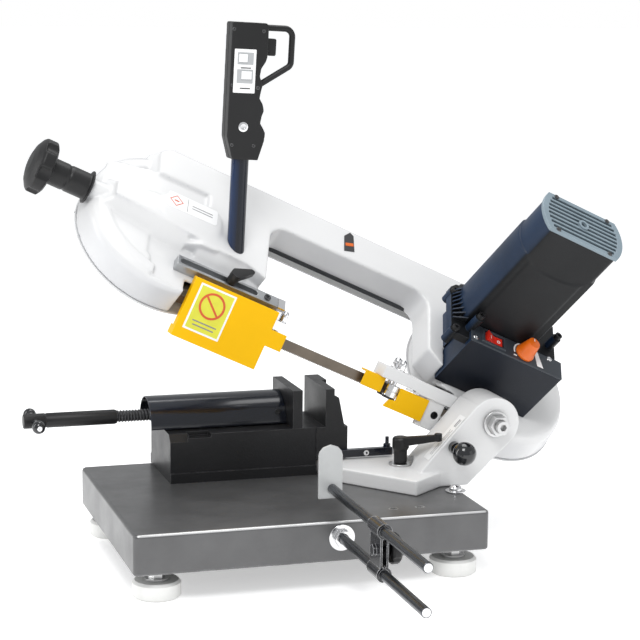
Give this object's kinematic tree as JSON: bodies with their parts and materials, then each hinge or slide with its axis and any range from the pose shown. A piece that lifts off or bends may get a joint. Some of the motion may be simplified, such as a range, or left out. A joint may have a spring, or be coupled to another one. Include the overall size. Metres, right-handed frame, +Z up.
{
  "type": "portable metal-cutting band saw",
  "caption": "Bench-top metal-cutting band saw: tilting bow with motor and band wheels on a mitre arm, screw vise, sheet-metal base and adjustable length stop.",
  "frame": {"origin": "centre of the whole saw's footprint at rest, on the floor plane under the feet", "axes": "+Z up, +X from the vise screw toward the bow pivot and motor, the operator stands on the -Y side"},
  "size_m": [0.7354, 0.6738, 0.6657],
  "materials": {
    "base_paint": "satin dark grey paint",
    "foot_rubber": "matt off-white moulded pads",
    "plated_steel": "bright zinc or chrome plate",
    "rod_steel": "dark turned bar",
    "black_casting": "black textured paint",
    "black_steel": "blackened screws and levers",
    "blue_black_sheet": "glossy blue-black paint",
    "white_casting": "gloss white paint",
    "bronze": "sintered bronze",
    "cast_aluminium": "machined casting",
    "black_plastic": "moulded black plastic",
    "rotor_core": "laminations and windings",
    "slate_plastic": "slate grey vent moulding",
    "red_plastic": "red rocker",
    "orange_plastic": "orange dial knob",
    "blade_steel": "oiled spring steel band",
    "yellow_guard": "safety yellow paint"
  },
  "bodies": {
    "base": {"base_tray": "base_paint", "feet": "foot_rubber", "foot_studs": "plated_steel", "stop_rod_lower": "rod_steel", "base_bolts": "plated_steel", "vise_body": "black_casting", "vise_nut": "black_casting", "fixed_jaw": "black_casting", "jaw_bolts": "black_steel", "mitre_pin": "plated_steel", "angle_bar": "rod_steel"},
    "mitre_arm": {"swivel_arm": "white_casting", "pivot_bushes": "bronze", "clamp_stud": "plated_steel", "clamp_washer": "plated_steel"},
    "clamp_handle": {"clamp_lever": "black_plastic"},
    "locking_pin": {"lock_pin": "black_plastic"},
    "saw_bow": {"pivot_stud": "plated_steel", "pivot_nut": "plated_steel", "bow_casting": "white_casting", "rear_cover": "white_casting", "bow_screws": "black_steel", "shaft_bearings": "plated_steel", "gear_cover": "black_casting", "motor_housing": "blue_black_sheet", "motor_grille": "slate_plastic", "control_box": "blue_black_sheet", "control_panel": "blue_black_sheet", "blade": "blade_steel", "right_guide_block": "white_casting", "right_guard": "yellow_guard", "handle_tube": "black_steel", "grip_left": "black_plastic", "grip_right": "black_plastic", "trigger_guard": "black_plastic"},
    "drive_train": {"drive_wheel": "cast_aluminium", "drive_shaft": "plated_steel", "drive_gear": "cast_aluminium"},
    "motor_rotor": {"armature": "rotor_core"},
    "idler_carriage": {"idler_slide": "cast_aluminium"},
    "tension_screw": {"tension_knob": "black_plastic"},
    "idler": {"idler_wheel": "cast_aluminium"},
    "guide_arm": {"guide_bar": "cast_aluminium", "left_guide_block": "cast_aluminium", "left_guard": "yellow_guard"},
    "guide_lever": {"guide_lock_lever": "black_steel"},
    "roller_lf": {"left_front_roller": "plated_steel"},
    "roller_lr": {"left_rear_roller": "plated_steel"},
    "roller_rf": {"right_front_roller": "plated_steel"},
    "roller_rr": {"right_rear_roller": "plated_steel"},
    "power_rocker": {"rocker_switch": "red_plastic"},
    "speed_dial": {"speed_knob": "orange_plastic"},
    "grip_trigger": {"trigger": "black_plastic"},
    "vise_slider": {"moving_jaw": "black_casting", "vise_cover": "blue_black_sheet"},
    "lead_screw": {"vise_screw": "rod_steel"},
    "tommy": {"tommy_bar": "black_steel"},
    "stop_clamp": {"stop_bracket": "black_steel"},
    "stop_knob": {"bracket_knob": "black_plastic"},
    "length_stop": {"stop_rod_upper": "rod_steel"}
  },
  "joints": [
    {"name": "mitre_swivel", "type": "hinge", "parent": "base", "child": "mitre_arm", "pos_m": [0.0233, 0.1921, 0.0845], "axis": [0, 0, 1], "range_deg": [0, 45]},
    {"name": "bow_tilt", "type": "hinge", "parent": "mitre_arm", "child": "saw_bow", "pos_m": [0.2083, 0.1641, 0.163], "axis": [0, 1, 0], "range_deg": [-23.5, 20]},
    {"name": "clamp_turn", "type": "hinge", "parent": "mitre_arm", "child": "clamp_handle", "pos_m": [0.0993, 0.1311, 0.117], "axis": [0, 0, 1], "range_deg": [-70, 0]},
    {"name": "lock_pin_pull", "type": "slide", "parent": "mitre_arm", "child": "locking_pin", "axis": [0, -1, 0], "range_m": [0, 0.01]},
    {"name": "drive_spin", "type": "hinge", "parent": "saw_bow", "child": "drive_train", "pos_m": [0.26175, 0.22538, 0.19481], "axis": [0.3237, -0.6428, 0.6943], "continuous": true},
    {"name": "rotor_spin", "type": "hinge", "parent": "saw_bow", "child": "motor_rotor", "pos_m": [0.20864, 0.22385, 0.21816], "axis": [0.3237, -0.6428, 0.6943], "continuous": true},
    {"name": "tension_slide", "type": "slide", "parent": "saw_bow", "child": "idler_carriage", "axis": [0.9063, 0, -0.4226], "range_m": [0, 0.006]},
    {"name": "tension_turn", "type": "hinge", "parent": "saw_bow", "child": "tension_screw", "pos_m": [-0.30987, 0.21767, 0.47151], "axis": [0.9063, 0, -0.4226], "range_deg": [0, 1440]},
    {"name": "idler_spin", "type": "hinge", "parent": "idler_carriage", "child": "idler", "pos_m": [-0.18778, 0.22538, 0.40443], "axis": [0.3237, -0.6428, 0.6943], "continuous": true},
    {"name": "guide_slide", "type": "slide", "parent": "saw_bow", "child": "guide_arm", "axis": [0.9063, 0, -0.4226], "range_m": [-0.005, 0.06]},
    {"name": "guide_lever_turn", "type": "hinge", "parent": "saw_bow", "child": "guide_lever", "pos_m": [-0.11769, 0.15401, 0.34888], "axis": [0.3237, -0.6428, 0.6943], "range_deg": [-60, 30]},
    {"name": "left_front_roller_spin", "type": "hinge", "parent": "guide_arm", "child": "roller_lf", "pos_m": [-0.06661, 0.15675, 0.26912], "axis": [0.4226, 0, 0.9063], "continuous": true},
    {"name": "left_rear_roller_spin", "type": "hinge", "parent": "guide_arm", "child": "roller_lr", "pos_m": [-0.06661, 0.17145, 0.26912], "axis": [0.4226, 0, 0.9063], "continuous": true},
    {"name": "right_front_roller_spin", "type": "hinge", "parent": "saw_bow", "child": "roller_rf", "pos_m": [0.09245, 0.15425, 0.19495], "axis": [0.4226, 0, 0.9063], "continuous": true},
    {"name": "right_rear_roller_spin", "type": "hinge", "parent": "saw_bow", "child": "roller_rr", "pos_m": [0.09245, 0.17395, 0.19495], "axis": [0.4226, 0, 0.9063], "continuous": true},
    {"name": "rocker_tilt", "type": "hinge", "parent": "saw_bow", "child": "power_rocker", "pos_m": [0.22093, 0.1255, 0.26108], "axis": [0.2717, 0.766, 0.5826], "range_deg": [-18, 0]},
    {"name": "speed_turn", "type": "hinge", "parent": "saw_bow", "child": "speed_dial", "pos_m": [0.26353, 0.1255, 0.24122], "axis": [0.3237, -0.6428, 0.6943], "range_deg": [0, 270]},
    {"name": "trigger_press", "type": "slide", "parent": "saw_bow", "child": "grip_trigger", "axis": [-0.9988, 0, 0.0489], "range_m": [0, 0.0035]},
    {"name": "jaw_slide", "type": "slide", "parent": "base", "child": "vise_slider", "axis": [1, 0, 0], "range_m": [-0.068, 0.03]},
    {"name": "vise_screw_turn", "type": "hinge", "parent": "vise_slider", "child": "lead_screw", "pos_m": [-0.0647, 0.2481, 0.161], "axis": [1, 0, 0], "range_deg": [-6120, 2700]},
    {"name": "tommy_bar_slide", "type": "slide", "parent": "lead_screw", "child": "tommy", "axis": [0, 1, 0], "range_m": [-0.018, 0.018]},
    {"name": "stop_bracket_slide", "type": "slide", "parent": "base", "child": "stop_clamp", "axis": [0, 1, 0], "range_m": [-0.08, 0.03]},
    {"name": "stop_knob_turn", "type": "hinge", "parent": "stop_clamp", "child": "stop_knob", "pos_m": [-0.0337, -0.1789, 0.08925], "axis": [1, 0, 0], "range_deg": [0, 180]},
    {"name": "stop_rod_slide", "type": "slide", "parent": "stop_clamp", "child": "length_stop", "axis": [0, 1, 0], "range_m": [-0.04, 0.04]}
  ],
  "couplings": [
    {"joint": "rotor_spin", "follows": "drive_spin", "ratio": -5.2},
    {"joint": "idler_spin", "follows": "drive_spin", "ratio": 1},
    {"joint": "left_front_roller_spin", "follows": "drive_spin", "ratio": -13.143},
    {"joint": "left_rear_roller_spin", "follows": "drive_spin", "ratio": 13.143},
    {"joint": "right_front_roller_spin", "follows": "drive_spin", "ratio": -9.6842},
    {"joint": "right_rear_roller_spin", "follows": "drive_spin", "ratio": 9.6842},
    {"joint": "tension_turn", "follows": "tension_slide", "rad_per_m": 4188.8},
    {"joint": "vise_screw_turn", "follows": "jaw_slide", "rad_per_m": 1570.8}
  ]
}
